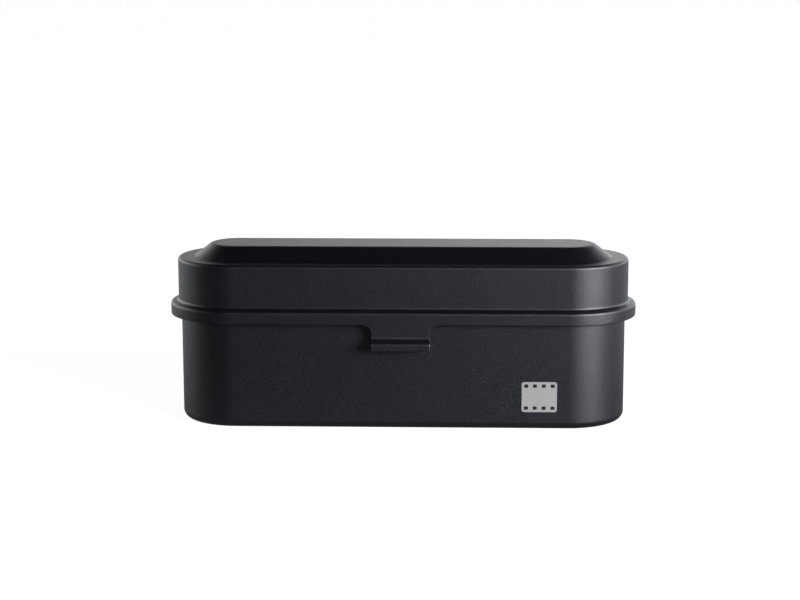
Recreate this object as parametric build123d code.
from build123d import *
import math
import os

# Pressed-steel film case with round ends: body, hinged lid with a front tab, catch, two hinges.
# Millimetres, +Z up, origin on the base plane under the middle of the plan, front faces -Y.

# Shells
width = 150.0            # over the lid's skirt
depth = 43.8
height = 57.05
gauge = 0.5
skirt_bottom = 34.3
skirt_top = 38.5
lid_step = 2.5           # skirt stands proud of the lid's wall
shoulder = 52.9
ledge = 5.3              # flat round the crown
crown_run = 5.6          # the crown's slope, seen from above
crown_edge = 2.0
shoulder_edge = 1.0
skirt_edge = 0.6         # bevel
overhang = 3.4           # skirt stands proud of the body's wall
base_edge = 2.5
rim_gap = 0.6            # rolled rim to skirt
rim_depth = 2.2

# Front tab and catch
tab_width = 18.8
tab_fillet = 3.0
tab_knee = 3.3           # below the skirt, where the tab turns out
tab_fall = 2.1
tab_kick = 1.8
tab_lip = 3.2
tab_bend = 2.2
catch_width = 13.0
catch_foot = 2.4
catch_nose = 1.4
catch_slope = 2.2

# Hinges
fitting_gauge = 0.6
clearance = 0.35         # between pieces that pass each other
hinge_offset = 30.0
hinge_width = 16.0
leaf_height = 9.0
leaf_corner = 2.0
lid_leaf_height = 2.4
lid_knuckle = 7.2
knuckle_gap = 0.2
pin_radius = 0.9
pin_play = 0.03
pin_drop = 1.2           # pin's centre below the skirt
head_radius = 1.3
head_depth = 0.5
web_slope = math.radians(40)

skirt_radius = depth / 2
end_offset = (width - depth) / 2     # end centres from the middle
lid_radius = skirt_radius - lid_step
body_radius = skirt_radius - overhang
seat = skirt_top - gauge             # the lid's step rests on the rolled rim
pin_height = skirt_bottom - pin_drop
bore_radius = pin_radius + pin_play
knuckle_radius = bore_radius + fitting_gauge
pin_reach = skirt_radius + knuckle_radius


def right_of(points, distance):
    # the same bent line shifted to its right
    spots = [Vector(*p) for p in points]
    steps = [(b - a).normalized() for a, b in zip(spots, spots[1:])]
    normals = [Vector(s.Y, -s.X) for s in steps]
    shifted = [spots[0] + normals[0] * distance]
    for spot, before, after in zip(spots[1:-1], normals, normals[1:]):
        shifted.append(spot + (before + after) * (distance / (1 + before.dot(after))))
    return [*shifted, spots[-1] + normals[-1] * distance]


def section(near, radii, far, far_radii):
    # a flat face between two bent lines, the two sides of a sheet
    left = FilletPolyline(*near, radius=radii)
    right = FilletPolyline(*far, radius=far_radii)
    ends = [Line(left @ 0, right @ 0), Line(left @ 1, right @ 1)]
    return make_face([*left.edges(), *right.edges(), *[e.edge() for e in ends]])


def sheet(points, radii, far_radii, thickness):
    # section of bent sheet; the points run along its left face
    return section(points, radii, right_of(points, thickness), far_radii)


def stadium(half_section):
    # a half section of radius and height, taken along the sides and round both ends
    half = Plane.YZ * half_section
    side = extrude(half, amount=end_offset, both=True)
    axis = Axis((end_offset, 0, 0), (0, 0, -1))
    end = revolve(Pos(end_offset, 0, 0) * half, axis, 180)
    return side + mirror(side, about=Plane.XZ) + end + mirror(end, about=Plane.YZ)


def across(profile, span):
    # a section of depth and height behind the middle, drawn out along X
    return extrude(Plane.YZ * profile, amount=span / 2, both=True)


def outline(points, radii):
    # a front-view outline as a cutter through the whole depth
    edges = FilletPolyline(*points, radius=radii, close=True).edges()
    return extrude(Plane.XZ * make_face(edges), amount=depth, both=True)


def bar(radius, length):
    # a round bar on the hinge line
    return Pos(0, pin_reach, pin_height) * Rot(0, 90, 0) * Cylinder(radius, length)


def body_shell():
    inner, rim = body_radius - gauge, skirt_radius - gauge - rim_gap
    top = [
        (inner, seat), (rim, seat), (rim, seat - rim_depth), (inner + 2 * gauge, seat - rim_depth),
    ]
    cut = (base_edge - gauge) * (2 - math.sqrt(2))     # touches the arc one gauge inside the base edge
    inside = [(0, gauge), (inner - cut, gauge), (inner, gauge + cut), *top]
    outside = right_of([(0, gauge), (inner, gauge), *top], gauge)
    return stadium(section(inside, [0] * 5, outside, [base_edge, 0, 0, 0]))


def front_tab():
    knee = skirt_bottom - tab_knee
    toe = knee - tab_fall
    lip_face, tip = skirt_radius + tab_kick, toe - tab_lip
    points = [(skirt_radius, skirt_bottom + gauge), (skirt_radius, knee), (lip_face, toe), (lip_face, tip)]
    bends = [[tab_bend, tab_bend / 2], [tab_bend + gauge, tab_bend / 2 - gauge]]
    bent = across(sheet(points, *bends, gauge), tab_width + 3 * tab_fillet)
    half, wide = tab_width / 2, tab_width / 2 + 1.4 * tab_fillet
    shape = outline(
        [(-wide, skirt_top), (-wide, skirt_bottom), (-half, skirt_bottom), (-half, tip),
         (half, tip), (half, skirt_bottom), (wide, skirt_bottom), (wide, skirt_top)],
        [0, 0, tab_fillet, gauge, gauge, tab_fillet, 0, 0],
    )
    return mirror(bent, about=Plane.XZ) & shape


def lid_shell():
    crown_base = lid_radius - ledge
    points = [
        (0, height), (crown_base - crown_run, height), (crown_base, shoulder),
        (lid_radius, shoulder), (lid_radius, skirt_top), (skirt_radius - skirt_edge, skirt_top),
        (skirt_radius, skirt_top - skirt_edge), (skirt_radius, skirt_bottom),
    ]
    near = [crown_edge, shoulder_edge, shoulder_edge, 0, 0, 0]
    return stadium(sheet(points, near, [0] * 6, gauge)) + front_tab()


def catch():
    nose = skirt_radius - gauge - clearance - fitting_gauge
    crest = skirt_bottom - catch_nose
    low = crest - catch_nose - catch_slope - catch_foot
    points = [
        (body_radius, low), (body_radius, low + catch_foot),
        (nose, crest - catch_nose), (nose, crest), (nose - catch_nose, crest + catch_nose),
    ]
    near = [2 * fitting_gauge, fitting_gauge / 2, fitting_gauge / 2]
    far = [fitting_gauge, 1.5 * fitting_gauge, 1.5 * fitting_gauge]
    strip = across(sheet(points, near, far, fitting_gauge), catch_width)
    half = catch_width / 2
    shape = outline(
        [(-half, skirt_top), (-half, low), (half, low), (half, skirt_top)],
        [0, catch_foot / 2, catch_foot / 2, 0],
    )
    return mirror(strip, about=Plane.XZ) & shape


def body_leaf():
    along = Vector(math.cos(web_slope), math.sin(web_slope))
    heel = Vector(pin_reach, pin_height) + Vector(along.Y, -along.X) * bore_radius
    bend = heel - along * ((heel.X - body_radius) / along.X)
    foot = bend.Y - leaf_height
    strip = sheet([(body_radius, foot), bend, heel], [2 * fitting_gauge], [fitting_gauge], fitting_gauge)
    half = hinge_width / 2
    shape = outline(
        [(-half, skirt_top), (-half, foot), (half, foot), (half, skirt_top)],
        [0, leaf_corner, leaf_corner, 0],
    )
    leaf = (across(strip, hinge_width) & shape) + bar(knuckle_radius, hinge_width)
    notch = bar(knuckle_radius + clearance, lid_knuckle + 2 * knuckle_gap)
    return leaf - notch - bar(bore_radius, hinge_width)


def lid_leaf():
    half, neck = hinge_width / 2, lid_knuckle / 2
    low = skirt_bottom + fitting_gauge
    high = low + lid_leaf_height
    corner = fitting_gauge
    face = make_face(FilletPolyline(
        (-neck, pin_height), (neck, pin_height), (neck, low), (half, low), (half, high),
        (-half, high), (-half, low), (-neck, low),
        radius=[0, 0, 0, 0, corner, corner, 0, 0], close=True).edges())
    plate = Pos(0, skirt_radius, 0) * extrude(Plane.XZ * face, amount=-fitting_gauge)
    return plate + bar(knuckle_radius, lid_knuckle) - bar(bore_radius, lid_knuckle)


def hinge_pin():
    half = hinge_width / 2
    profile = make_face(FilletPolyline(
        (0, 0), (pin_radius, 0), (pin_radius, half), (head_radius, half),
        (head_radius, half + head_depth), (0, half + head_depth), radius=0, close=True).edges())
    pin = revolve(Plane.XZ * profile, Axis.Z)
    pin += mirror(pin, about=Plane.XY)
    return Pos(0, pin_reach, pin_height) * Rot(0, 90, 0) * pin


pieces = {"body_shell": body_shell(), "lid_shell": lid_shell(), "catch": catch()}
for side, place in (("left", -hinge_offset), ("right", hinge_offset)):
    for name, make in (("body_leaf", body_leaf), ("lid_leaf", lid_leaf), ("hinge_pin", hinge_pin)):
        pieces[side + "_" + name] = Pos(place, 0, 0) * make()

os.makedirs("parts", exist_ok=True)
for name, solid in pieces.items():
    export_step(solid, "parts/" + name + ".step")
